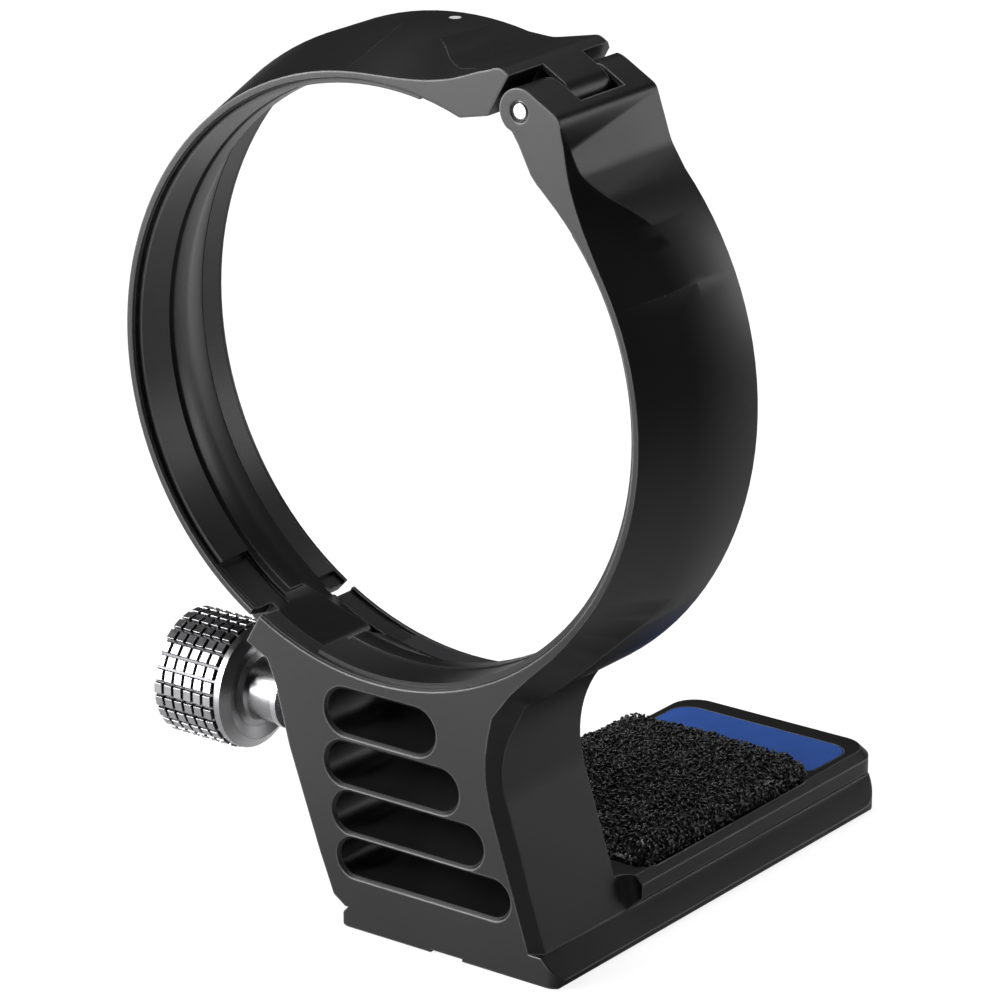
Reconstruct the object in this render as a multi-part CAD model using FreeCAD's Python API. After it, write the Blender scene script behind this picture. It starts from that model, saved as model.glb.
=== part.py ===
"""Hinged lens tripod collar on a dovetail foot.

Millimetres. +X is right seen from the front, +Y runs from the front face back along the foot
and +Z is up. The origin is the middle of the foot's underside.
"""
import FreeCAD, Part
import math
import os

V = FreeCAD.Vector

# Dovetail foot
FOOT_LENGTH = 83.0
LIP_WIDTH = 38.0
LIP_HEIGHT = 1.1
BODY_WIDTH = 35.0
GROOVE_TOP = 5.6
FOOT_HEIGHT = 8.8
REAR_CORNER = 5.3
FRONT_CORNER = 2.1
LEDGE_ROUND = 2.0
BASE_EDGE = 0.5
TOP_EDGE = 1.2
BASE_GROOVE_WIDTH = 5.4
BASE_GROOVE_DEPTH = 0.4
BASE_LAND_R = 6.0

# Collar ring, measured from its front face
RING_X = -11.8
RING_LOW = 32.7
RING_DEPTH = 23.2
SEAT_R = 41.2
SEAT_START = 7.8
SEAT_END = 10.4
LIP_STEP = 0.8
LIP_DEPTH = 1.0
LIP_EDGE = 0.3
FRONT_BAND_STEP = 1.2
REAR_RIM_STEP = 4.2
REAR_BAND_STEP = 4.8
REAR_BAND_START = 18.9
REAR_BAND_END = 22.6
FRONT_WALL = 0.7
REAR_WALL = 0.9
RIDGE_Y = 13.4
REAR_CHAMFER = 1.3
SPLIT_GAP = 1.4
LIP_R = SEAT_R + LIP_STEP
FRONT_BAND_R = SEAT_R + FRONT_BAND_STEP
REAR_RIM_R = SEAT_R + REAR_RIM_STEP
REAR_BAND_R = SEAT_R + REAR_BAND_STEP
FRONT_OUTER_R = FRONT_BAND_R + FRONT_WALL
RING_OUTER_R = REAR_BAND_R + REAR_WALL
RING_Z = RING_LOW + RING_OUTER_R

# Hinge, straight above the ring's centre in the ring's own frame
HINGE_TILT = 29.8
HINGE_RISE = 1.4
HINGE_R = RING_OUTER_R + HINGE_RISE
KNUCKLE_R = 3.1
KNUCKLE_START = 6.9
KNUCKLE_END = 16.3
KNUCKLE_SIDE_GAP = 0.2
SHOULDER_GAP = 0.6
PIN_D = 2.5
PIN_FIT = 0.04
PIN_MOUTH = 0.25
PIN_SINK = 0.15
BOSS_FLAT = 5.3
BOSS_CORNER = 1.8
STRAP_EDGE = 0.4

# Stem
STEM_DEPTH = 19.8
BEVEL_WIDTH = 1.9
BEVEL_DEPTH = 1.5
STEM_REAR_EDGE = 0.3
NECK_R = 16.0
SLOT_EDGE = 0.5

# Tongue of the arm and the pocket it enters
TONGUE_FRONT = 4.3
TONGUE_REAR = 17.7
TONGUE_LEFT = -30.4
TONGUE_RIGHT = -26.2
TONGUE_FOOT = 21.6
POCKET_SIDE_GAP = 0.35
POCKET_END_GAP = 0.5

# Clamp screw, along X
SCREW_Y = 11.0
SCREW_Z = 26.7
STUD_R = 1.95
STUD_FIT = 0.09
STUD_HOLE_GAP = 0.4
SCREW_TRAVEL = 4.2
INSERT_R = 3.0
INSERT_LENGTH = 4.3
WASHER_R = 4.7
WASHER_THICK = 1.0
WASHER_GAP = 0.2
KNOB_R = 9.15
KNOB_LENGTH = 13.1
KNOB_NECK_R = 4.4
KNOB_RIGHT = -40.5
KNURL_ROWS = 28
KNURL_RINGS = 6
KNURL_DEPTH = 0.5
KNURL_GROOVE = 0.5

# Liners
LINER_FRONT_THICK = 1.1
LINER_REAR_THICK = 0.65
LINER_SIDE_GAP = 0.05

# Pad, label and small pieces
PAD_START = 24.2
PAD_END = 66.2
PAD_WIDTH = 32.6
PAD_POCKET = 0.8
PAD_TOP = 13.0
LABEL_START = 67.6
LABEL_END = 78.4
LABEL_WIDTH = 30.0
LABEL_THICK = 0.6
LABEL_GAP = 0.1
DOT_R = 0.8
DOT_DEPTH = 0.6
DOT_Y = 19.0
DOT_ANGLE = 30.5
TRIPOD_HOLE_R = 3.175
TRIPOD_HOLE_DEPTH = 6.4
STOP_SCREW_INSET = 7.5
STOP_HEAD_R = 2.4
STOP_HEAD_HEIGHT = 1.8
STOP_SHANK_R = 1.45
STOP_SHANK_LENGTH = 3.2

# Right side of the stem, from the dovetail's waist up to the neck
STEM_FOOT = (15.85, 4.1)
STEM_NECK = (6.1, 33.8)
# Bevel on the ring above the neck: angle up from the ring's lowest point, how far back it runs,
# and how much narrower than the ring's cone it is
NECK_WAVE = [(58.0, 1.0, 0.0), (54.5, 0.78, 0.0), (51.0, 0.50, 0.05), (47.5, 0.31, 0.15),
             (43.0, 0.23, 0.3), (38.0, 0.225, 0.45), (33.5, 0.235, 1.0), (30.0, 0.24, 1.7)]
# Bevel down the stem: share of the way from its foot to its neck, distance outside that line,
# turn of the surface, width and depth
STEM_WAVE = [(1.07, 4.2, 50.0, 2.2, 3.1), (0.99, 2.9, 34.0, 2.1, 2.6), (0.90, 1.55, 22.0, 2.0, 2.0),
             (0.80, 0.5, 10.0, BEVEL_WIDTH, 1.6), (0.68, 0.0, 0.0, BEVEL_WIDTH, BEVEL_DEPTH),
             (-0.2, 0.0, 0.0, BEVEL_WIDTH, BEVEL_DEPTH)]
# Flank of the hinge boss, out from its flat top, in the ring's own frame
FLANK_R = 7.0
FLANK = [(11.0, RING_OUTER_R - 0.5), (17.5, RING_OUTER_R - 3.8)]
# Hollow beside the boss: angle from the hinge, how far back it runs, height of its front edge,
# height of its rear edge, sag
WAVE = [(7.0, 0.030, 0.935, 0.907, 0.02), (9.0, 0.045, 0.765, 0.650, 0.04),
        (11.0, 0.065, 0.590, 0.420, 0.08), (13.2, 0.105, 0.430, 0.225, 0.14),
        (15.5, 0.175, 0.310, 0.095, 0.24), (18.0, 0.290, 0.210, 0.015, 0.36),
        (21.0, 0.455, 0.125, 0.0, 0.44), (24.0, 0.620, 0.065, 0.0, 0.40),
        (26.5, 0.740, 0.032, 0.0, 0.30), (29.0, 0.840, 0.012, 0.0, 0.19),
        (31.5, 0.915, 0.004, 0.0, 0.10), (33.8, 0.968, 0.001, 0.0, 0.04),
        (36.0, 1.0, 0.0, 0.0, 0.01)]
RUN_OUT = 1.5

FRONT_Y = -FOOT_LENGTH / 2
GAP_HALF = SPLIT_GAP / 2
BIG = 120.0


def corner_arc(before, corner, after, radius):
    """Tangent points and middle point of a round of the given radius at a corner."""
    a = V(*before).sub(V(*corner)).normalize()
    b = V(*after).sub(V(*corner)).normalize()
    half = a.getAngle(b) / 2
    reach = radius / math.tan(half)
    centre = V(*corner) + (a + b).normalize() * (radius / math.sin(half))
    middle = centre + (V(*corner) - centre).normalize() * radius
    return V(*corner) + a * reach, middle, V(*corner) + b * reach


def rounded_face(points, lift):
    """Face of a polygon given as (u, v) or (u, v, corner radius); lift makes 3-D tuples."""
    flat = [lift(p[0], p[1]) for p in points]
    radii = [p[2] if len(p) > 2 else 0 for p in points]
    edges = []
    ends = []
    for i, corner in enumerate(flat):
        if radii[i]:
            start, middle, end = corner_arc(flat[i - 1], corner, flat[(i + 1) % len(flat)], radii[i])
            edges.append(Part.Arc(start, middle, end).toShape())
            ends.append((start, end))
        else:
            ends.append((V(*corner), V(*corner)))
    for i in range(len(flat)):
        start = ends[i][1]
        end = ends[(i + 1) % len(flat)][0]
        if start.distanceToPoint(end) > 1e-6:
            edges.append(Part.LineSegment(start, end).toShape())
    return Part.Face(Part.Wire(Part.__sortEdges__(edges)))


def prism_y(points, y0, y1):
    """Solid with an X-Z outline from y0 to y1."""
    return rounded_face(points, lambda u, v: (u, y0, v)).extrude(V(0, y1 - y0, 0))


def prism_z(points, z0, z1):
    """Solid with an X-Y outline from z0 to z1."""
    return rounded_face(points, lambda u, v: (u, v, z0)).extrude(V(0, 0, z1 - z0))


def box(x0, x1, y0, y1, z0, z1):
    return Part.makeBox(x1 - x0, y1 - y0, z1 - z0, V(x0, y0, z0))


def cylinder_y(x, z, radius, y0, y1):
    return Part.makeCylinder(radius, y1 - y0, V(x, y0, z), V(0, 1, 0))


def cylinder_x(x0, x1, radius):
    """Cylinder on the clamp screw's axis."""
    return Part.makeCylinder(radius, x1 - x0, V(x0, SCREW_Y, SCREW_Z), V(1, 0, 0))


def turned_y(profile, angle=360.0, start=0.0):
    """Solid turned about the ring's axis from (radius, y) points."""
    wire = Part.makePolygon([V(r, y, 0) for r, y in profile + profile[:1]])
    solid = Part.Face(wire).revolve(V(0, 0, 0), V(0, 1, 0), -angle)
    solid.rotate(V(0, 0, 0), V(0, 1, 0), -start)
    return solid


def from_ring_frame(shape):
    """Move a shape from the ring's own frame, hinge on top, to its place on the foot."""
    shape.rotate(V(0, 0, 0), V(0, 1, 0), HINGE_TILT)
    shape.translate(V(RING_X, 0, RING_Z))
    return shape


def one_solid(shape):
    shape = shape.removeSplitter()
    if len(shape.Solids) != 1:
        raise RuntimeError("expected one solid, got %d" % len(shape.Solids))
    return shape.Solids[0]


# Ring shapes, in the ring's own frame

def boss_outline():
    """Hinge boss from the front: flat top over the knuckles, hollow flanks down to the ring."""
    top = HINGE_R + KNUCKLE_R
    right = [(BOSS_FLAT, top, BOSS_CORNER), FLANK[0] + (FLANK_R,), FLANK[1]]
    left = [(-corner[0],) + corner[1:] for corner in reversed(right)]
    return left + right + [(0.0, HINGE_R - 18.3)]


def hollow_section(angle, line, front, edge, sag):
    """Section of the hollow beside the boss, in a half plane through the ring's axis.

    line is how far back the wave runs there, front and edge are how high the surface stands at
    the front face and at the wave, all as shares of their full reach. sag makes it concave.
    """
    top = HINGE_R + KNUCKLE_R
    edge_y = line * RIDGE_Y
    edge_r = RING_OUTER_R + edge * (top - RING_OUTER_R)
    front_r = FRONT_OUTER_R + front * (top - FRONT_OUTER_R)
    slope = (edge_r - front_r) / edge_y
    start = V(front_r - slope, -1, 0)
    end = V(edge_r + RUN_OUT, edge_y + RUN_OUT / slope, 0)
    middle = (start + end) * 0.5 - V(sag, 0, 0)
    curve = Part.Arc(start, middle, end).toShape()
    rest = Part.makePolygon([end, V(top + 6, end.y, 0), V(top + 6, -1, 0), start])
    wire = Part.Wire([curve] + rest.Edges)
    wire.rotate(V(0, 0, 0), V(0, 1, 0), angle - 90)
    return wire


def front_cuts():
    """What the lathe and the mill take off the front: the cone, and a hollow each side of the boss."""
    slope = (RING_OUTER_R - FRONT_OUTER_R) / RIDGE_Y
    far = HINGE_R + 22
    profile = [(FRONT_OUTER_R - slope, -1), (RING_OUTER_R, RIDGE_Y), (far, RIDGE_Y), (far, -1)]
    hinge_end = WAVE[-1][0]
    left_cone = turned_y(profile, 180 - hinge_end, 90 + hinge_end)
    neck_end_angle = 180 - HINGE_TILT - NECK_WAVE[0][0]
    right_cone = turned_y(profile, neck_end_angle - hinge_end, 90 - neck_end_angle)
    sections = [hollow_section(*row) for row in WAVE]
    hollow = Part.makeLoft(sections, True, True)
    mirrored = hollow.mirror(V(0, 0, 0), V(1, 0, 0))
    return [left_cone, right_cone, hollow, mirrored]


def ring_outside():
    """Outer shape of the whole closed ring, with the hinge boss and its wave."""
    full = Part.makeCylinder(RING_OUTER_R, RING_DEPTH, V(0, 0, 0), V(0, 1, 0))
    rear_edge = [e for e in full.Edges if abs(e.BoundBox.YMin - RING_DEPTH) < 1e-6
                 and e.BoundBox.XLength > 1]
    full = full.makeChamfer(REAR_CHAMFER, rear_edge)
    boss = prism_y(boss_outline(), 0, RING_DEPTH)
    rear_edges = [e for e in boss.Edges if abs(e.BoundBox.YMin - RING_DEPTH) < 1e-6
                  and abs(e.BoundBox.YMax - RING_DEPTH) < 1e-6
                  and e.CenterOfMass.z > RING_OUTER_R - 3.9]
    boss = boss.makeChamfer(REAR_CHAMFER, rear_edges)
    outside = full.fuse(boss)
    for cut in front_cuts():
        outside = outside.cut(cut)
    return outside


def ring_void():
    """Everything inside the ring: front lip, front band, raised seat, taper and rear band."""
    mouth_r = LIP_R + LIP_EDGE
    profile = [(0, -1), (mouth_r, -1), (mouth_r, 0), (LIP_R, LIP_EDGE), (LIP_R, LIP_DEPTH),
               (FRONT_BAND_R, LIP_DEPTH), (FRONT_BAND_R, SEAT_START - 0.9),
               (SEAT_R + 0.5, SEAT_START - 0.9), (SEAT_R, SEAT_START), (SEAT_R, SEAT_END),
               (REAR_RIM_R, REAR_BAND_START), (REAR_BAND_R, REAR_BAND_START),
               (REAR_BAND_R, REAR_BAND_END), (REAR_RIM_R, REAR_BAND_END),
               (REAR_RIM_R, RING_DEPTH + 1), (0, RING_DEPTH + 1)]
    return turned_y(profile)


def knuckle_disc(y0, y1):
    return cylinder_y(0, HINGE_R, KNUCKLE_R, y0, y1)


def pin_bore():
    """Bore for the hinge pin, with a small mouth at each end."""
    radius = PIN_D / 2 + PIN_FIT
    bore = cylinder_y(0, HINGE_R, radius, -1, RING_DEPTH + 1)
    front = Part.makeCone(radius + PIN_MOUTH, radius, PIN_MOUTH, V(0, 0, HINGE_R), V(0, 1, 0))
    rear = Part.makeCone(radius, radius + PIN_MOUTH, PIN_MOUTH, V(0, RING_DEPTH - PIN_MOUTH, HINGE_R),
                         V(0, 1, 0))
    return bore.fuse([front, rear])


def ring_right_half():
    """Fixed half of the ring with the two outer knuckles, without its inside cut."""
    outside = ring_outside()
    behind = RING_DEPTH + 16.8
    half = outside.common(box(0, BIG, -1, behind, -BIG, BIG))
    half = half.cut(box(-1, GAP_HALF, -1, behind, -BIG, 0))
    half = half.fuse(outside.common(knuckle_disc(0, RING_DEPTH)))
    low = HINGE_R - 12.3
    throat = [(-6.0, low), (10.0, low), (9.0, HINGE_R - 7.3), (5.6, HINGE_R - 6.1),
              (2.2, HINGE_R - 3.9), (0.4, HINGE_R - 3.0), (-6.0, HINGE_R - 3.4)]
    half = half.cut(prism_y(throat, -1, behind))
    wall = KNUCKLE_R + SHOULDER_GAP
    half = half.cut(box(-10, wall, KNUCKLE_START, KNUCKLE_END, low, BIG))
    return half.cut(strap_edge(KNUCKLE_END, -10, wall))


def strap_edge(y, x0, x1):
    """Small bevel along one top edge of the strap or of its slot, which runs across at y."""
    top = HINGE_R + KNUCKLE_R
    corner = Part.makePolygon([V(x0, y - 0.1, top - STRAP_EDGE - 0.1),
                               V(x0, y + STRAP_EDGE + 0.1, top + 0.1),
                               V(x0, y - 0.1, top + 0.1),
                               V(x0, y - 0.1, top - STRAP_EDGE - 0.1)])
    return Part.Face(corner).extrude(V(x1 - x0, 0, 0))


def ring_left_half():
    """Swinging half of the ring with the middle knuckle, without its inside cut."""
    outside = ring_outside()
    shoulder = KNUCKLE_R + SHOULDER_GAP
    behind = RING_DEPTH + 16.8
    low = HINGE_R - 18.3
    half = outside.common(box(-BIG, -GAP_HALF, -1, behind, -BIG, BIG))
    half = half.cut(box(-shoulder, 1, -1, behind, low, BIG))
    relief = [(-shoulder - 3.6, HINGE_R - 6.9), (-shoulder + 0.1, HINGE_R - 3.6),
              (-shoulder + 0.1, low), (-shoulder - 3.6, low)]
    half = half.cut(prism_y(relief, -1, behind))
    y0 = KNUCKLE_START + KNUCKLE_SIDE_GAP
    y1 = KNUCKLE_END - KNUCKLE_SIDE_GAP
    strap = outside.common(box(-shoulder - 1, 0, y0, y1, HINGE_R - 12.3, BIG))
    strap = strap.fuse(outside.common(knuckle_disc(y0, y1)))
    return half.fuse(strap.cut(strap_edge(y0, -shoulder, 5)))


# Foot body

def tongue_outline():
    """Tongue seen from the front: down from the arm's end, then straight past the screw."""
    return [(-36.9, 40.4), (TONGUE_LEFT, 34.6), (TONGUE_LEFT, TONGUE_FOOT, 1.6),
            (TONGUE_RIGHT, TONGUE_FOOT, 1.2), (TONGUE_RIGHT, 36.7, 3.0), (-32.2, 42.3, 14.0),
            (-36.0, 48.0), (-41.0, 45.0)]


def pocket():
    """Room in the foot body for the tongue, open to the left and into the ring."""
    back = TONGUE_RIGHT + POCKET_END_GAP
    floor = TONGUE_FOOT - 1.1
    outline = [(-60.0, floor), (back, floor, 1.0), (back, 33.5), (-21.6, 40.3), (-21.6, 60.0),
               (-60.0, 60.0)]
    return prism_y(outline, TONGUE_FRONT - POCKET_SIDE_GAP, TONGUE_REAR + POCKET_SIDE_GAP)


def stem_slots():
    """Four level slots, each longer than the one above."""
    rows = [(-20.6, -2.0, 28.7, 35.3), (-20.7, 1.9, 21.2, 27.4), (-19.4, 6.1, 14.3, 20.2),
            (-18.6, 10.6, 7.9, 13.4)]
    slots = []
    for left, right, low, high in rows:
        r = (high - low) / 2 - 0.01
        slot = prism_y([(left, low, r), (right, low, r), (right, high, r), (left, high, r)],
                       0, STEM_DEPTH)
        grow = SLOT_EDGE + 1
        mouth = prism_y([(left - grow, low - grow, r + grow), (right + grow, low - grow, r + grow),
                         (right + grow, high + grow, r + grow), (left - grow, high + grow, r + grow)],
                        -1.2, SLOT_EDGE)
        rim = [e for e in mouth.Edges if abs(e.BoundBox.YMin - SLOT_EDGE) < 1e-6]
        slots.append(slot.fuse(mouth.makeChamfer(grow + 0.05, rim)))
    return slots


def stem():
    """Slanted upright between ring and foot."""
    outline = [(-33.0, 45.0), (-33.0, 41.6), (-29.4, 33.3, 8.0), (-27.2, 24.8, 20.0),
               (-22.0, 10.3, 20.0), (-19.6, 4.35, 0.6), (-17.6, 3.0), (14.0, 3.0), STEM_FOOT,
               STEM_NECK + (NECK_R,), (19.0, 46.5), (8.0, 50.0)]
    body = prism_y(outline, 0, STEM_DEPTH)
    rear = [e for e in body.Edges if e.BoundBox.YMin > STEM_DEPTH - 1e-6
            and e.CenterOfMass.x > 4 and e.CenterOfMass.z < 46.6 and e.CenterOfMass.z > 3.5]
    return body.makeChamfer(STEM_REAR_EDGE, rear)


def bevel_section(x, z, direction, width, depth):
    """Section of the front bevel at a point of the outline, square to it.

    direction is the way out of the material, in degrees up from +X.
    """
    way = V(math.cos(math.radians(direction)), 0, math.sin(math.radians(direction)))
    place = V(x, 0, z)
    slope = width / depth
    inner = place - way * (width + slope) + V(0, -1, 0)
    outer = place + way * RUN_OUT + V(0, depth + RUN_OUT / slope, 0)
    corner = place + way * RUN_OUT + V(0, -1, 0)
    return Part.makePolygon([inner, outer, corner, inner])


def neck_bevel():
    """Front bevel from the ring's cone through the neck down to the foot, as one cut."""
    sections = []
    for angle, line, front in NECK_WAVE:
        turn = math.radians(angle)
        width = RING_OUTER_R - FRONT_OUTER_R - front
        sections.append(bevel_section(RING_X + RING_OUTER_R * math.sin(turn),
                                      RING_Z - RING_OUTER_R * math.cos(turn),
                                      angle - 90, width, line * RIDGE_Y))
    rise = math.atan2(STEM_NECK[1] - STEM_FOOT[1], STEM_FOOT[0] - STEM_NECK[0])
    side = 90 - math.degrees(rise)
    for share, out, turn, width, depth in STEM_WAVE:
        x = STEM_FOOT[0] + (STEM_NECK[0] - STEM_FOOT[0]) * share + out
        z = STEM_FOOT[1] + (STEM_NECK[1] - STEM_FOOT[1]) * share
        sections.append(bevel_section(x, z, side - turn, width, depth))
    return Part.makeLoft(sections, True, True)


def foot_plate():
    """Dovetail plate: lips, 45 degree groove and the wider-cornered body on top."""
    lip = LIP_WIDTH / 2
    side = BODY_WIDTH / 2
    deep = (GROOVE_TOP - LIP_HEIGHT + lip - side) / 2
    waist = lip - deep
    waist_z = LIP_HEIGHT + deep
    lower = [(-lip + BASE_EDGE, 0), (lip - BASE_EDGE, 0), (lip, BASE_EDGE), (lip, LIP_HEIGHT),
             (waist, waist_z), (-waist, waist_z), (-lip, LIP_HEIGHT), (-lip, BASE_EDGE)]
    upper = [(waist, waist_z), (side, GROOVE_TOP), (side, FOOT_HEIGHT), (-side, FOOT_HEIGHT),
             (-side, GROOVE_TOP), (-waist, waist_z)]
    rear = REAR_CORNER + lip - side
    lip_plan = [(-lip, 0, FRONT_CORNER), (lip, 0, FRONT_CORNER), (lip, FOOT_LENGTH, rear),
                (-lip, FOOT_LENGTH, rear)]
    body_plan = [(-side, 0), (side, 0), (side, FOOT_LENGTH, REAR_CORNER),
                 (-side, FOOT_LENGTH, REAR_CORNER)]
    low = prism_y(lower, 0, FOOT_LENGTH).common(prism_z(lip_plan, -1, 20))
    plan = prism_z(body_plan, -1, FOOT_HEIGHT)
    rim = [e for e in plan.Edges if e.BoundBox.ZMin > FOOT_HEIGHT - 1e-6
           and e.CenterOfMass.y > 1]
    plan = plan.makeChamfer(TOP_EDGE, rim)
    high = prism_y(upper, 0, FOOT_LENGTH).common(plan)
    return low.fuse(high.cut(ledge_cut(waist_z)).cut(neck_bevel()))


def ledge_cut(low):
    """Room beside the stem: its slanted side runs straight down to the dovetail's waist."""
    lean = (STEM_FOOT[0] - STEM_NECK[0]) / (STEM_NECK[1] - STEM_FOOT[1])
    high = FOOT_HEIGHT + 3
    region = [(STEM_FOOT[0] + lean * (STEM_FOOT[1] - low), low), (30, low), (30, high),
              (STEM_FOOT[0] - lean * (high - STEM_FOOT[1]), high)]
    cut = prism_y(region, -1, STEM_DEPTH + LEDGE_ROUND)
    inner = [e for e in cut.Edges if e.BoundBox.YMin > STEM_DEPTH and e.BoundBox.XMax < 20]
    return cut.makeFillet(LEDGE_ROUND, inner)


def pad_plan(gap=0.0):
    w = PAD_WIDTH / 2 + gap
    return [(-w, PAD_START - gap, 3.0), (w, PAD_START - gap, 3.0), (w, PAD_END + gap, 3.0),
            (-w, PAD_END + gap, 3.0)]


def label_plan(gap=0.0):
    w = LABEL_WIDTH / 2 + gap
    return [(-w, LABEL_START - gap, 1.0), (w, LABEL_START - gap, 1.0),
            (w, LABEL_END + gap, 3.2), (-w, LABEL_END + gap, 3.2)]


def stop_screw_spots():
    return (STOP_SCREW_INSET, FOOT_LENGTH - STOP_SCREW_INSET)


def underside_cuts():
    """Shallow groove, tripod thread and the two counterbored stop screw holes."""
    half = BASE_GROOVE_WIDTH / 2
    middle = FOOT_LENGTH / 2
    groove = box(-half, half, -1, FOOT_LENGTH + 1, -1, BASE_GROOVE_DEPTH)
    cuts = [groove.cut(Part.makeCylinder(BASE_LAND_R, 3, V(0, middle, -1)))]
    cuts.append(Part.makeCylinder(TRIPOD_HOLE_R, TRIPOD_HOLE_DEPTH + 1, V(0, middle, -1)))
    for y in stop_screw_spots():
        head_top = BASE_GROOVE_DEPTH + STOP_HEAD_HEIGHT
        cuts.append(Part.makeCylinder(STOP_HEAD_R + 0.2, head_top + 1, V(0, y, -1)))
        cuts.append(Part.makeCylinder(STOP_SHANK_R, STOP_SHANK_LENGTH + 0.3, V(0, y, head_top)))
    return cuts


def foot_body():
    """Fixed ring half, stem and foot, machined from one piece."""
    split_side = from_ring_frame(box(GAP_HALF, BIG, -1, STEM_DEPTH + 20, -BIG, 30))
    body = from_ring_frame(ring_right_half()).fuse(stem().common(split_side))
    body = body.cut(neck_bevel())
    body = body.fuse(foot_plate())
    for slot in stem_slots():
        body = body.cut(slot)
    body = body.cut(from_ring_frame(ring_void()))
    body = body.cut(from_ring_frame(pin_bore()))
    body = body.cut(pocket())
    back = TONGUE_RIGHT + POCKET_END_GAP
    body = body.cut(cylinder_x(back - 1, back + INSERT_LENGTH, INSERT_R))
    body = body.cut(prism_z(pad_plan(0.1), FOOT_HEIGHT - PAD_POCKET, PAD_TOP + 9))
    body = body.cut(prism_z(label_plan(LABEL_GAP), FOOT_HEIGHT - LABEL_THICK, FOOT_HEIGHT + 1))
    for cut in underside_cuts():
        body = body.cut(cut)
    return one_solid(body)


# Arm and the small pieces

def index_dot():
    """Filled dot on top of the arm."""
    dot = Part.makeCylinder(DOT_R, DOT_DEPTH, V(0, DOT_Y, RING_OUTER_R - DOT_DEPTH))
    dot.rotate(V(0, 0, 0), V(0, 1, 0), -DOT_ANGLE)
    return from_ring_frame(dot)


def clamp_arm():
    """Swinging ring half with its middle knuckle and lower tongue."""
    arm = from_ring_frame(ring_left_half())
    tongue = prism_y(tongue_outline(), TONGUE_FRONT, TONGUE_REAR)
    arm = arm.fuse(tongue)
    arm = arm.cut(from_ring_frame(ring_void()))
    arm = arm.cut(from_ring_frame(pin_bore()))
    arm = arm.cut(cylinder_x(-60, 0, STUD_R + STUD_HOLE_GAP))
    return one_solid(arm.cut(index_dot()))


def hinge_pin():
    """Pin pressed into the outer knuckles, a little below flush at both ends."""
    pin = cylinder_y(0, HINGE_R, PIN_D / 2, PIN_SINK, RING_DEPTH - PIN_SINK)
    ends = [e for e in pin.Edges if e.BoundBox.YLength < 1e-6]
    return from_ring_frame(pin.makeChamfer(PIN_MOUTH, ends))


def liner(start_angle, end_angle, outer, thick, y0, y1):
    """Thin strip lining a band between two angles, counted anticlockwise from +X in front."""
    gap = LINER_SIDE_GAP
    profile = [(outer - thick, y0 + gap), (outer, y0 + gap), (outer, y1 - gap),
               (outer - thick, y1 - gap)]
    strip = turned_y(profile, end_angle - start_angle, start_angle)
    strip.translate(V(RING_X, 0, RING_Z))
    return strip


def front_liner(start_angle, end_angle):
    return liner(start_angle, end_angle, FRONT_BAND_R, LINER_FRONT_THICK, LIP_DEPTH,
                 SEAT_START - 0.9)


def rear_liner(start_angle, end_angle):
    return liner(start_angle, end_angle, REAR_BAND_R, LINER_REAR_THICK, REAR_BAND_START,
                 REAR_BAND_END)


def neck_end():
    return TONGUE_LEFT - WASHER_GAP - SCREW_TRAVEL - WASHER_THICK


def knob():
    """Knob head with square flat-topped knurl teeth, a dished face and a plain neck."""
    left = KNOB_RIGHT - KNOB_LENGTH
    shoulder = KNOB_RIGHT - 2.0
    first = left + 0.5
    pitch = (shoulder - first) / KNURL_RINGS
    corner_r = KNOB_R / math.cos(math.pi / KNURL_ROWS)
    points = [(left, 0), (left, KNOB_R - 1.9), (first, KNOB_R - 0.7), (first, corner_r + 1),
              (shoulder, corner_r + 1), (shoulder, KNOB_R - 0.25), (shoulder + 1.0, KNOB_R - 0.25),
              (KNOB_RIGHT, KNOB_R - 1.7), (KNOB_RIGHT - 0.5, KNOB_NECK_R + 1.3),
              (KNOB_RIGHT - 0.1, KNOB_NECK_R + 0.3), (KNOB_RIGHT + 0.5, KNOB_NECK_R),
              (neck_end(), KNOB_NECK_R), (neck_end(), 0)]
    wire = Part.makePolygon([V(x, SCREW_Y, SCREW_Z + r) for x, r in points + points[:1]])
    turned = Part.Face(wire).revolve(V(0, SCREW_Y, SCREW_Z), V(1, 0, 0), 360)
    root = knurl_prism([0.5], KNOB_R - KNURL_DEPTH, first, shoulder)
    teeth = [knurl_prism([0.36, 0.64], KNOB_R, first + i * pitch, first + (i + 1) * pitch - KNURL_GROOVE)
             for i in range(KNURL_RINGS)]
    ends = [cylinder_x(left, first, corner_r + 2), cylinder_x(shoulder, 0, corner_r + 2)]
    head = turned.common(root.fuse(teeth + ends))
    return one_solid(head.cut(cylinder_x(neck_end() - 6, neck_end() + 1, STUD_R)))


def knurl_prism(shares, apothem, x0, x1):
    """Prism on the screw's axis with one flat per knurl row.

    One share gives plain flats. Two give flat teeth with a groove between each pair.
    """
    step = math.tau / KNURL_ROWS
    root = (KNOB_R - KNURL_DEPTH) / math.cos(step / 2)
    corners = []
    for i in range(KNURL_ROWS):
        middle = step * i
        corners.append((root, middle - step / 2))
        if len(shares) == 2:
            land = step * shares[0]
            crown = apothem / math.cos(land)
            corners += [(root, middle - land - 0.01), (crown, middle - land),
                        (crown, middle + land), (root, middle + land + 0.01)]
    points = [V(x0, SCREW_Y + r * math.sin(t), SCREW_Z + r * math.cos(t)) for r, t in corners]
    return Part.Face(Part.makePolygon(points + points[:1])).extrude(V(x1 - x0, 0, 0))


def clamp_stud():
    """Stud pressed into the knob's neck; its tip stops just short of the insert."""
    tip = TONGUE_RIGHT + 0.2
    stud = cylinder_x(neck_end() - 6, tip, STUD_R)
    ends = [e for e in stud.Edges if e.BoundBox.XMin > tip - 1e-6]
    return stud.makeChamfer(0.5, ends)


def thrust_washer():
    x = neck_end()
    return cylinder_x(x, x + WASHER_THICK, WASHER_R).cut(
        cylinder_x(x - 1, x + WASHER_THICK + 1, STUD_R + STUD_FIT))


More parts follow.
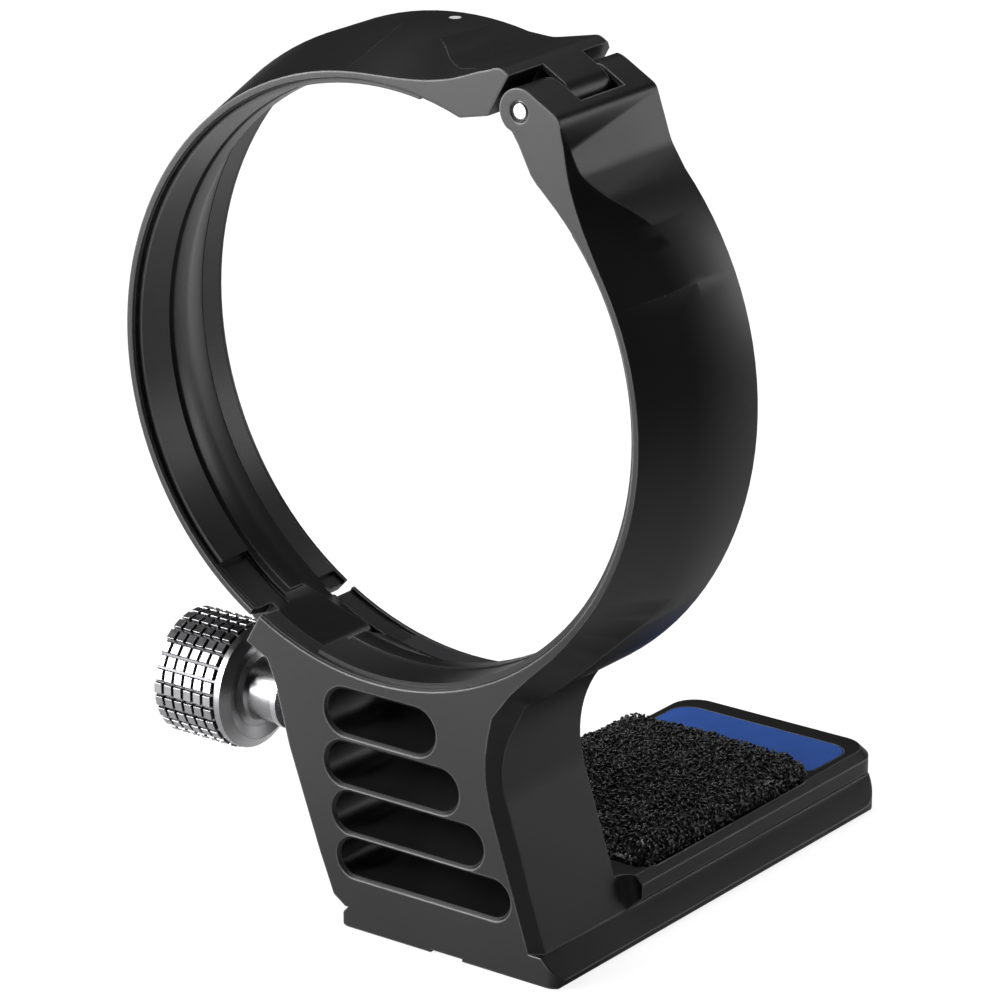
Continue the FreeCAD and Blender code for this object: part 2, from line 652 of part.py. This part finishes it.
def thread_insert():
    x = TONGUE_RIGHT + POCKET_END_GAP
    return cylinder_x(x, x + INSERT_LENGTH, INSERT_R).cut(
        cylinder_x(x - 1, x + INSERT_LENGTH + 1, STUD_R + STUD_FIT))


def grip_pad():
    """Soft pad standing in the foot's top pocket, with its top edge broken."""
    low = FOOT_HEIGHT - PAD_POCKET
    pad = prism_z(pad_plan(), low, PAD_TOP)
    rim = [e for e in pad.Edges if e.BoundBox.ZMin > PAD_TOP - 1e-6]
    return pad.makeChamfer(1.2, rim)


def label_plate():
    return prism_z(label_plan(), FOOT_HEIGHT - LABEL_THICK, FOOT_HEIGHT)


def stop_screws():
    """Two small cap screws sunk in the underside that stop the foot sliding out of a clamp."""
    screws = []
    for y in stop_screw_spots():
        top = BASE_GROOVE_DEPTH + STOP_HEAD_HEIGHT
        head = Part.makeCylinder(STOP_HEAD_R, STOP_HEAD_HEIGHT, V(0, y, BASE_GROOVE_DEPTH))
        socket = prism_z([(1.25 * math.cos(math.radians(60 * i)), y + 1.25 * math.sin(
            math.radians(60 * i))) for i in range(6)], 0, BASE_GROOVE_DEPTH + 1.0)
        shank = Part.makeCylinder(STOP_SHANK_R, STOP_SHANK_LENGTH, V(0, y, top))
        screws.append(one_solid(head.cut(socket).fuse(shank)))
    return Part.makeCompound(screws)


def main():
    pieces = {
        "foot_body": foot_body,
        "clamp_arm": clamp_arm,
        "hinge_pin": hinge_pin,
        "liner_front_foot": lambda: front_liner(-105.0, 40.0),
        "liner_rear_foot": lambda: rear_liner(-103.0, 40.0),
        "liner_front_arm": lambda: front_liner(80.0, 228.0),
        "liner_rear_arm": lambda: rear_liner(80.0, 236.5),
        "clamp_knob": knob,
        "clamp_stud": clamp_stud,
        "thrust_washer": thrust_washer,
        "thread_insert": thread_insert,
        "grip_pad": grip_pad,
        "label_plate": label_plate,
        "index_dot": index_dot,
        "stop_screws": stop_screws,
    }
    os.makedirs("parts", exist_ok=True)
    for name, make in pieces.items():
        shape = make()
        shape.translate(V(0, FRONT_Y, 0))
        shape.exportStep("parts/%s.step" % name)
        print(name, len(shape.Solids), shape.isValid(), round(shape.Volume, 1))


main()
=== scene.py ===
"""Lens tripod collar in black anodised aluminium on a dovetail foot, with a bright knurled knob.

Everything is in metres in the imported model's own frame: +X right, +Y back along the foot, +Z up.
"""
import math
import random

import bmesh
import bpy
from mathutils import Matrix, Vector


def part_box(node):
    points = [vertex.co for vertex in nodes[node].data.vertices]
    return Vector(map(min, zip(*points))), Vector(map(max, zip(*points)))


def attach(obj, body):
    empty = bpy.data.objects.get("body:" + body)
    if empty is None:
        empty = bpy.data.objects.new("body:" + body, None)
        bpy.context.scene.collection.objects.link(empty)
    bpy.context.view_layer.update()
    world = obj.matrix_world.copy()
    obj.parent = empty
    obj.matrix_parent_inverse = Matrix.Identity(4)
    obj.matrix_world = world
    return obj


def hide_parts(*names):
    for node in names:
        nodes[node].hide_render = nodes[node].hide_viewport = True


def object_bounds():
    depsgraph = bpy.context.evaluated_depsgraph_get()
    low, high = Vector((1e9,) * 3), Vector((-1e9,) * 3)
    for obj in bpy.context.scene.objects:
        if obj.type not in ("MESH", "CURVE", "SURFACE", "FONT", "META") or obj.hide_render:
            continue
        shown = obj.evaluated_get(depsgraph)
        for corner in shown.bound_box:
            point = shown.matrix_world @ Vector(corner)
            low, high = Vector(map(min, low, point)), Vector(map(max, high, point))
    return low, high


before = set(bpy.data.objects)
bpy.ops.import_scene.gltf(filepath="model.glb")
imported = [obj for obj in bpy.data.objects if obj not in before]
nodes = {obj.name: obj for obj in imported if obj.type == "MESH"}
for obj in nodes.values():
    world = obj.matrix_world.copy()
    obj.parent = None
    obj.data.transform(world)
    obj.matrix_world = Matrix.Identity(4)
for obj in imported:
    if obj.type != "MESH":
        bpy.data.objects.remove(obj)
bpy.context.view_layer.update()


# Foot, stem and the two ring halves: aluminium milled from the solid, blasted to a fine satin and
# anodised black. The edges are broken with a small radius that catches the light, and they are
# painted much paler than the faces: partly handling wear, partly a painted highlight along the edges.
ANODISED_BLACK = (0.0115, 0.0115, 0.012, 1)
EDGE_WEAR_AND_HIGHLIGHT = (0.34, 0.34, 0.345, 1)
EDGE_WEAR_AND_HIGHLIGHT_SHARE = 0.8
ANODISED_ROUGHNESS = 0.36
EDGE_RADIUS = 0.00035
EDGE_STARTS = 0.985
EDGE_FULL = 0.88
BLAST_GRAIN = 5200
EDGE_PATCH_GRAIN = 90
TOUCH_GRAIN = 38
SHARP_ANGLE = 28
WELD_REACH = 0.000002


def new_material(name):
    material = bpy.data.materials.new(name)
    material.use_nodes = True
    tree = material.node_tree
    shader = tree.nodes["Principled BSDF"]
    place = tree.nodes.new("ShaderNodeTexCoord")
    return material, tree, shader, place.outputs["Object"]


def noise(tree, place, scale, detail=3, rough=0.6):
    node = tree.nodes.new("ShaderNodeTexNoise")
    node.inputs["Scale"].default_value = scale
    node.inputs["Detail"].default_value = detail
    node.inputs["Roughness"].default_value = rough
    tree.links.new(place, node.inputs["Vector"])
    return node.outputs["Fac"]


def map_range(tree, value, low, high, to_low, to_high):
    node = tree.nodes.new("ShaderNodeMapRange")
    node.inputs["From Min"].default_value = low
    node.inputs["From Max"].default_value = high
    node.inputs["To Min"].default_value = to_low
    node.inputs["To Max"].default_value = to_high
    tree.links.new(value, node.inputs["Value"])
    return node.outputs["Result"]


def calculate(tree, operation, first, second):
    """Join two values in a Math node. Either may be a plain number."""
    node = tree.nodes.new("ShaderNodeMath")
    node.operation = operation
    for socket, value in zip(node.inputs, (first, second)):
        if isinstance(value, (int, float)):
            socket.default_value = value
        else:
            tree.links.new(value, socket)
    return node.outputs["Value"]


def mix_colour(tree, factor, first, second):
    node = tree.nodes.new("ShaderNodeMix")
    node.data_type = "RGBA"
    tree.links.new(factor, node.inputs["Factor"])
    for socket, colour in (("A", first), ("B", second)):
        target = [i for i in node.inputs if i.name == socket and i.type == "RGBA"][0]
        target.default_value = colour
    return [o for o in node.outputs if o.type == "RGBA"][0]


def bump(tree, height, strength, distance, normal=None):
    node = tree.nodes.new("ShaderNodeBump")
    node.inputs["Strength"].default_value = strength
    node.inputs["Distance"].default_value = distance
    tree.links.new(height, node.inputs["Height"])
    if normal is not None:
        tree.links.new(normal, node.inputs["Normal"])
    return node.outputs["Normal"]


def rounded_normal(tree, radius):
    """Normal of the faces with their edges broken, and how far it leans at an edge."""
    edge = tree.nodes.new("ShaderNodeBevel")
    edge.samples = 6
    edge.inputs["Radius"].default_value = radius
    face = tree.nodes.new("ShaderNodeNewGeometry")
    lean = tree.nodes.new("ShaderNodeVectorMath")
    lean.operation = "DOT_PRODUCT"
    tree.links.new(edge.outputs["Normal"], lean.inputs[0])
    tree.links.new(face.outputs["Normal"], lean.inputs[1])
    return edge.outputs["Normal"], lean.outputs["Value"]


def anodised_aluminium(name, roughness):
    material, tree, shader, place = new_material(name)
    normal, lean = rounded_normal(tree, EDGE_RADIUS)
    blast = noise(tree, place, BLAST_GRAIN, 2, 0.7)
    edge_patches = map_range(tree, noise(tree, place, EDGE_PATCH_GRAIN, 4), 0.35, 0.65, 0.35, 1.0)
    # The pale edge colour is partly handling wear and partly a painted highlight on the broken edges.
    edge = map_range(tree, lean, EDGE_STARTS, EDGE_FULL, 0.0, EDGE_WEAR_AND_HIGHLIGHT_SHARE)
    wear_and_highlight = calculate(tree, "MULTIPLY", edge, edge_patches)
    tree.links.new(mix_colour(tree, wear_and_highlight, ANODISED_BLACK, EDGE_WEAR_AND_HIGHLIGHT),
                   shader.inputs["Base Color"])
    grain = map_range(tree, blast, 0.3, 0.7, roughness - 0.04, roughness + 0.05)
    touched = map_range(tree, noise(tree, place, TOUCH_GRAIN, 3, 0.5), 0.3, 0.7, -0.025, 0.025)
    tree.links.new(calculate(tree, "ADD", grain, touched), shader.inputs["Roughness"])
    tree.links.new(bump(tree, blast, 0.22, 0.00003, normal), shader.inputs["Normal"])
    return material


def dress(node, material):
    """Give a CAD piece its finish and shade its round faces smoothly."""
    piece = nodes[node]
    piece.data.materials.clear()
    piece.data.materials.append(material)
    piece.data.polygons.foreach_set("use_smooth", [True] * len(piece.data.polygons))
    weld = piece.modifiers.new("weld", "WELD")
    weld.merge_threshold = WELD_REACH
    split = piece.modifiers.new("split", "EDGE_SPLIT")
    split.split_angle = math.radians(SHARP_ANGLE)


anodised = anodised_aluminium("black_anodised_aluminium", ANODISED_ROUGHNESS)
dress("foot_body", anodised)
dress("clamp_arm", anodised)


# Pin, stud, washer, insert and stop screws: turned steel, polished by the lathe tool, with faint
# tool marks as noise in the roughness and the surface.
STEEL = (0.62, 0.62, 0.64, 1)
STEEL_ROUGHNESS = 0.24
STEEL_GRAIN = 2600
TURNED_EDGE_RADIUS = 0.00012


def turned_steel(name, roughness):
    material, tree, shader, place = new_material(name)
    normal, _ = rounded_normal(tree, TURNED_EDGE_RADIUS)
    marks = noise(tree, place, STEEL_GRAIN, 4)
    shader.inputs["Base Color"].default_value = STEEL
    shader.inputs["Metallic"].default_value = 1.0
    tree.links.new(map_range(tree, marks, 0.3, 0.7, roughness - 0.05, roughness + 0.08),
                   shader.inputs["Roughness"])
    tree.links.new(bump(tree, marks, 0.15, 0.00002, normal), shader.inputs["Normal"])
    return material


steel = turned_steel("turned_steel", STEEL_ROUGHNESS)
for node in ("hinge_pin", "clamp_stud", "thrust_washer", "thread_insert", "stop_screws"):
    dress(node, steel)


# Knob: bright turned aluminium. The square teeth are milled with a fine pitch cutter. Shade is
# painted dark grey into the grooves between them, and the same painted shade falls on the knob's end
# face inside the groove radius.
BRIGHT_ALUMINIUM = (0.42, 0.42, 0.43, 1)
GROOVE_SHADE_GREY = (0.055, 0.055, 0.058, 1)
KNOB_ROUGHNESS = 0.3
KNOB_GRAIN = 1500
KNOB_AXIS = (0, -0.0305, 0.0267)
KNOB_ROOT_R = 0.00868
KNOB_TOOTH_R = 0.00912
NECK_STARTS = -0.0427
NECK_FULL = -0.0425


def knurled_aluminium(name, roughness):
    """Bright metal on the teeth and the neck, and painted shade down in the grooves."""
    material, tree, shader, place = new_material(name)
    normal, _ = rounded_normal(tree, TURNED_EDGE_RADIUS)
    shift = tree.nodes.new("ShaderNodeVectorMath")
    shift.operation = "SUBTRACT"
    shift.inputs[1].default_value = KNOB_AXIS
    tree.links.new(place, shift.inputs[0])
    across = tree.nodes.new("ShaderNodeVectorMath")
    across.operation = "MULTIPLY"
    across.inputs[1].default_value = (0, 1, 1)
    tree.links.new(shift.outputs["Vector"], across.inputs[0])
    radius = tree.nodes.new("ShaderNodeVectorMath")
    radius.operation = "LENGTH"
    tree.links.new(across.outputs["Vector"], radius.inputs[0])
    on_tooth = map_range(tree, radius.outputs["Value"], KNOB_ROOT_R, KNOB_TOOTH_R, 0.0, 1.0)
    along = tree.nodes.new("ShaderNodeSeparateXYZ")
    tree.links.new(place, along.inputs["Vector"])
    on_neck = map_range(tree, along.outputs["X"], NECK_STARTS, NECK_FULL, 0.0, 1.0)
    bright = calculate(tree, "MAXIMUM", on_tooth, on_neck)
    # Dark grey inside the root radius is painted shade, not a dull finish.
    tree.links.new(mix_colour(tree, bright, GROOVE_SHADE_GREY, BRIGHT_ALUMINIUM),
                   shader.inputs["Base Color"])
    shader.inputs["Metallic"].default_value = 1.0
    marks = noise(tree, place, KNOB_GRAIN, 3, 0.5)
    tree.links.new(map_range(tree, marks, 0.3, 0.7, roughness - 0.03, roughness + 0.05),
                   shader.inputs["Roughness"])
    tree.links.new(bump(tree, marks, 0.05, 0.00002, normal), shader.inputs["Normal"])
    return material


dress("clamp_knob", knurled_aluminium("bright_knurled_aluminium", KNOB_ROUGHNESS))


# Liners: thin strips glued in the bands inside the ring, black at the front and dark grey at the
# rear, with a smooth soft face that keeps the lens barrel from being marked.
FRONT_LINER_BLACK = (0.012, 0.012, 0.013, 1)
REAR_LINER_GREY = (0.028, 0.028, 0.03, 1)
FIBRE_GRAIN = 3800
FIBRE_PALER = 1.5


def liner_strip(name, colour, roughness):
    material, tree, shader, place = new_material(name)
    fibre = noise(tree, place, FIBRE_GRAIN, 3, 0.65)
    paler = tuple(c * FIBRE_PALER for c in colour[:3]) + (1,)
    tree.links.new(mix_colour(tree, map_range(tree, fibre, 0.35, 0.7, 0, 1), colour, paler),
                   shader.inputs["Base Color"])
    tree.links.new(map_range(tree, noise(tree, place, 60, 3, 0.5), 0.3, 0.7, roughness - 0.04,
                             roughness + 0.06), shader.inputs["Roughness"])
    tree.links.new(bump(tree, fibre, 0.2, 0.00003), shader.inputs["Normal"])
    return material


front_liner = liner_strip("front_liner_rubber", FRONT_LINER_BLACK, 0.4)
rear_liner = liner_strip("rear_liner_rubber", REAR_LINER_GREY, 0.38)
for side in ("foot", "arm"):
    dress("liner_front_" + side, front_liner)
    dress("liner_rear_" + side, rear_liner)


# Label: a thin aluminium plate, printed satin blue and left bare. It is glued in its recess behind
# the pad.
LABEL_BLUE = (0.04, 0.115, 0.44, 1)
LABEL_DEEPER = 0.82


def satin_print(name):
    material, tree, shader, place = new_material(name)
    deeper = tuple(c * LABEL_DEEPER for c in LABEL_BLUE[:3]) + (1,)
    patchy = map_range(tree, noise(tree, place, 140, 4), 0.3, 0.7, 0, 1)
    tree.links.new(mix_colour(tree, patchy, LABEL_BLUE, deeper), shader.inputs["Base Color"])
    tree.links.new(map_range(tree, noise(tree, place, 900), 0.3, 0.7, 0.3, 0.42),
                   shader.inputs["Roughness"])
    tree.links.new(bump(tree, noise(tree, place, 4200, 2, 0.5), 0.12, 0.00002),
                   shader.inputs["Normal"])
    return material


dress("label_plate", satin_print("satin_blue_print"))


# Index dot: white paint, filled into a drilled dimple on top of the swinging half and rubbed flush
# when it was dry.
DOT_WHITE = (0.78, 0.78, 0.76, 1)
DOT_CHALKIER = 0.86


def dimple_paint(name):
    material, tree, shader, place = new_material(name)
    chalky = tuple(c * DOT_CHALKIER for c in DOT_WHITE[:3]) + (1,)
    tree.links.new(mix_colour(tree, noise(tree, place, 2600), DOT_WHITE, chalky),
                   shader.inputs["Base Color"])
    shader.inputs["Roughness"].default_value = 0.5
    return material


dress("index_dot", dimple_paint("white_dot_paint"))


# Grip pad: the looped side of hook-and-loop tape, stuck in the pocket on top of the foot. A woven
# backing crowns over the middle and rolls down at the sides, and short curled loops of black yarn
# cover it all over.
PAD_LOW, PAD_HIGH = (Vector(corner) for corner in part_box("grip_pad"))
YARN_BLACK = (0.008, 0.008, 0.0085, 1)
YARN_PALER = (0.02, 0.02, 0.021, 1)
LOOP_HEIGHT = 0.0008
LOOP_PITCH = 0.0009
LOOP_STRAY = 0.3
YARN_R = 0.0002
YARN_SIDES = 5
LOOP_STEPS = 7
SIDE_ROUND = 0.0026
CROWN = 0.0007
SWELL = 0.00022
EDGE_GAP = 0.0004
PATCH_SIDE = 0.0063
random.seed(7)

pad_half = Vector(((PAD_HIGH.x - PAD_LOW.x) / 2 - LOOP_HEIGHT * 0.8,
                   (PAD_HIGH.y - PAD_LOW.y) / 2 - LOOP_HEIGHT * 0.8))
pad_middle = (PAD_LOW + PAD_HIGH) / 2
pad_top = PAD_HIGH.z - LOOP_HEIGHT * 0.8
side_drop = pad_top - CROWN - PAD_LOW.z


def rolled(distance, half):
    """Follow the tape out from the middle: flat, then round the edge, then down the side."""
    sign = math.copysign(1, distance)
    s = abs(distance)
    flat = half - SIDE_ROUND
    arc = SIDE_ROUND * math.pi / 2
    if s <= flat:
        return distance, 0.0, 0.0
    if s <= flat + arc:
        angle = (s - flat) / SIDE_ROUND
        return (sign * (flat + SIDE_ROUND * math.sin(angle)), SIDE_ROUND * (1 - math.cos(angle)),
                sign * angle)
    return sign * half, SIDE_ROUND + s - flat - arc, sign * math.pi / 2


def lay_on_pad(point):
    """Place a point given along, across and above the flat tape on the crowned pad."""
    x, drop_x, lean_x = rolled(point.x, pad_half.x)
    y, drop_y, lean_y = rolled(point.y, pad_half.y)
    crown = CROWN * ((x / pad_half.x) ** 2 + (y / pad_half.y) ** 2) / 2
    swell = SWELL * math.sin(x * 410 + 1.2) * math.sin(y * 330 + 0.4)
    up = max(math.cos(lean_x) * math.cos(lean_y), 0.02)
    out = Vector((math.sin(lean_x), math.sin(lean_y), up))
    z = pad_top - crown - drop_x - drop_y + swell
    z = max(z, PAD_LOW.z + 0.0002)
    return Vector((pad_middle.x + x, pad_middle.y + y, z)) + out.normalized() * point.z


def reach(half):
    return half - SIDE_ROUND + SIDE_ROUND * math.pi / 2 + side_drop - SIDE_ROUND - EDGE_GAP


def black_yarn(name):
    material, tree, shader, place = new_material(name)
    strand = map_range(tree, noise(tree, place, 1500), 0.3, 0.7, 0, 1)
    tree.links.new(mix_colour(tree, strand, YARN_BLACK, YARN_PALER), shader.inputs["Base Color"])
    shader.inputs["Roughness"].default_value = 0.34
    shader.inputs["Sheen Weight"].default_value = 0.1
    tree.links.new(bump(tree, noise(tree, place, 9000, 2), 0.3, 0.00003), shader.inputs["Normal"])
    return material


yarn = black_yarn("black_loop_yarn")


def finish_pad_piece(name, bm):
    """Turn a mesh that lies on the pad into a piece of yarn glued to the foot."""
    bmesh.ops.recalc_face_normals(bm, faces=bm.faces)
    mesh = bpy.data.meshes.new(name)
    bm.to_mesh(mesh)
    bm.free()
    mesh.polygons.foreach_set("use_smooth", [True] * len(mesh.polygons))
    mesh.materials.append(yarn)
    piece = bpy.data.objects.new(name, mesh)
    bpy.context.scene.collection.objects.link(piece)
    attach(piece, "foot")
    return piece


bm = bmesh.new()
bmesh.ops.create_grid(bm, x_segments=60, y_segments=76, size=1.0)
bmesh.ops.scale(bm, vec=(reach(pad_half.x), reach(pad_half.y), 1), verts=bm.verts)
for vert in bm.verts:
    vert.co = lay_on_pad(vert.co)
rim = [edge for edge in bm.edges if edge.is_boundary]
bmesh.ops.contextual_create(bm, geom=rim)
backing = finish_pad_piece("pad_backing", bm)
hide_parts("grip_pad")


def joined_to(verts):
    """All the vertices of the loop that holds these ones."""
    loop = set(verts)
    todo = list(verts)
    while todo:
        for edge in todo.pop().link_edges:
            for vert in edge.verts:
                if vert not in loop:
                    loop.add(vert)
                    todo.append(vert)
    return list(loop)


def curl_loop(patch, row, column):
    """Spin one curled loop of yarn, squeeze and lean it, and stand it near its place in the weave."""
    size = random.uniform(0.00034, 0.00046)
    start = bmesh.ops.create_circle(patch, segments=YARN_SIDES, radius=YARN_R,
                                    matrix=Matrix.Translation((size, 0, 0)))["verts"]
    edges = list({edge for vert in start for edge in vert.link_edges})
    bmesh.ops.spin(patch, geom=edges, axis=(0, 1, 0), cent=(0, 0, 0), steps=LOOP_STEPS,
                   angle=math.radians(random.uniform(250, 330)))
    squeeze = Matrix.Diagonal((1, 1, random.uniform(0.75, 1.1), 1))
    lean = Matrix.Rotation(random.uniform(-1.1, 1.1), 4, "X")
    turn = Matrix.Rotation(random.uniform(0, math.tau), 4, "Z")
    x = (column + 0.5 + random.uniform(-LOOP_STRAY, LOOP_STRAY)) * LOOP_PITCH
    y = (row + 0.5 + random.uniform(-LOOP_STRAY, LOOP_STRAY)) * LOOP_PITCH
    spot = Matrix.Translation((x, y, random.uniform(0.00005, 0.00035)))
    bmesh.ops.transform(patch, matrix=spot @ turn @ lean @ squeeze, verts=joined_to(start))


patch = bmesh.new()
loops_along = round(PATCH_SIDE / LOOP_PITCH)
for row in range(loops_along):
    for column in range(loops_along):
        curl_loop(patch, row, column)
patch_mesh = bpy.data.meshes.new("loop_patch")
patch.to_mesh(patch_mesh)
patch.free()

bm = bmesh.new()
columns = math.ceil(2 * reach(pad_half.x) / PATCH_SIDE)
rows = math.ceil(2 * reach(pad_half.y) / PATCH_SIDE)
patch_middle = Matrix.Translation((PATCH_SIDE / 2, PATCH_SIDE / 2, 0))
for column in range(columns):
    for row in range(rows):
        before = len(bm.verts)
        bm.from_mesh(patch_mesh)
        bm.verts.ensure_lookup_table()
        quarter = Matrix.Rotation(random.randrange(4) * math.pi / 2, 4, "Z")
        corner = Matrix.Translation(((column - columns / 2) * PATCH_SIDE,
                                     (row - rows / 2) * PATCH_SIDE, 0))
        bmesh.ops.transform(bm, verts=bm.verts[before:],
                            matrix=corner @ patch_middle @ quarter @ patch_middle.inverted())
beyond = [v for v in bm.verts if abs(v.co.x) > reach(pad_half.x) or abs(v.co.y) > reach(pad_half.y)]
bmesh.ops.delete(bm, geom=beyond, context="VERTS")
for vert in bm.verts:
    vert.co = lay_on_pad(vert.co)
bpy.data.meshes.remove(patch_mesh)
finish_pad_piece("pad_loops", bm)


# Table top and backdrop: one plain pale sheet with the collar standing on it. Only in reflections is
# the sheet painted dark towards the right, a painted reflection in place of a black card on that
# side.
FLOOR_WHITE = (0.86, 0.86, 0.86, 1)
REFLECTED_DARK = (0.06, 0.06, 0.06, 1)
FLOOR_HALF = 6.0
FLOOR_DROP = 0.0001
FLOOR_GLOW = 1.25
GLOW_SHARE = 0.7
TO_THE_LEFT = (-1.2, 1.0, 0)
REFLECTED_DARK_ENDS = -0.3
WHITE_STARTS = 0.12


def pale_sheet(name):
    material, tree, shader, place = new_material(name)
    shader.inputs["Roughness"].default_value = 0.8
    rays = tree.nodes.new("ShaderNodeLightPath")
    leftward = tree.nodes.new("ShaderNodeVectorMath")
    leftward.operation = "DOT_PRODUCT"
    leftward.inputs[1].default_value = TO_THE_LEFT
    tree.links.new(place, leftward.inputs[0])
    white = map_range(tree, leftward.outputs["Value"], REFLECTED_DARK_ENDS, WHITE_STARTS, 0.0, 1.0)
    painted_dark_share = calculate(tree, "SUBTRACT", 1.0, white)
    # Glossy rays alone see the sheet dark towards the right: a painted reflection.
    seen_in_metal = calculate(tree, "MULTIPLY", painted_dark_share, rays.outputs["Is Glossy Ray"])
    tree.links.new(mix_colour(tree, seen_in_metal, FLOOR_WHITE, REFLECTED_DARK),
                   shader.inputs["Base Color"])
    glow = tree.nodes.new("ShaderNodeEmission")
    glow.inputs["Strength"].default_value = FLOOR_GLOW
    blend = tree.nodes.new("ShaderNodeMixShader")
    tree.links.new(calculate(tree, "MULTIPLY", rays.outputs["Is Camera Ray"], GLOW_SHARE),
                   blend.inputs["Fac"])
    tree.links.new(shader.outputs["BSDF"], blend.inputs[1])
    tree.links.new(glow.outputs["Emission"], blend.inputs[2])
    tree.links.new(blend.outputs["Shader"], tree.nodes["Material Output"].inputs["Surface"])
    return material


bm = bmesh.new()
bmesh.ops.create_grid(bm, x_segments=1, y_segments=1, size=FLOOR_HALF)
mesh = bpy.data.meshes.new("floor")
bm.to_mesh(mesh)
bm.free()
mesh.materials.append(pale_sheet("pale_floor"))
floor = bpy.data.objects.new("floor", mesh)
floor.location.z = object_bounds()[0][2] - FLOOR_DROP
bpy.context.scene.collection.objects.link(floor)


# Studio: a dim room that the camera sees as white, a large softbox at the front left with a low one
# under it, a softbox overhead and a weak one at the back right for the stem's side.
ROOM_LIGHT = 0.12
ROOM_SEEN = 1.0
LAMP_TARGET = (0, 0, 0.06)

world = bpy.data.worlds.new("studio")
bpy.context.scene.world = world
world.use_nodes = True
tree = world.node_tree
rays = tree.nodes.new("ShaderNodeLightPath")
seen = calculate(tree, "MAXIMUM", rays.outputs["Is Camera Ray"],
                 rays.outputs["Is Transmission Ray"])
tree.links.new(map_range(tree, seen, 0, 1, ROOM_LIGHT, ROOM_SEEN),
               tree.nodes["Background"].inputs["Strength"])


def softbox(name, place, size, power):
    light = bpy.data.lights.new(name, "AREA")
    light.shape = "RECTANGLE"
    light.size, light.size_y = size
    light.energy = power
    lamp = bpy.data.objects.new(name, light)
    lamp.location = place
    aim = Vector(LAMP_TARGET) - Vector(place)
    lamp.rotation_euler = aim.to_track_quat("-Z", "Y").to_euler()
    bpy.context.scene.collection.objects.link(lamp)


softbox("softbox_left", (-0.7, -0.75, 0.42), (0.55, 0.8), 13)
softbox("low_front", (-0.45, -0.8, 0.14), (0.5, 0.26), 5)
softbox("softbox_top", (-0.1, 0.25, 0.95), (0.6, 0.35), 5)
softbox("back_right", (0.55, 0.85, 0.25), (0.25, 0.4), 1.5)


# Camera: a long lens from the front right and a little above, fitted to the ring's circles and the
# foot's edges.
LENS = 183.6
SENSOR = 36
CAMERA_PLACE = (0.38702, -0.54988, 0.29050)
CAMERA_DOWN = 19.33
CAMERA_TURN = 36.62

camera_data = bpy.data.cameras.new("camera")
camera_data.lens = LENS
camera_data.sensor_width = SENSOR
camera_data.clip_start = 0.01
camera = bpy.data.objects.new("camera", camera_data)
camera.location = CAMERA_PLACE
camera.rotation_euler = (math.radians(90 - CAMERA_DOWN), 0, math.radians(CAMERA_TURN))
bpy.context.scene.collection.objects.link(camera)
bpy.context.scene.camera = camera
bpy.context.scene.view_settings.view_transform = "Standard"
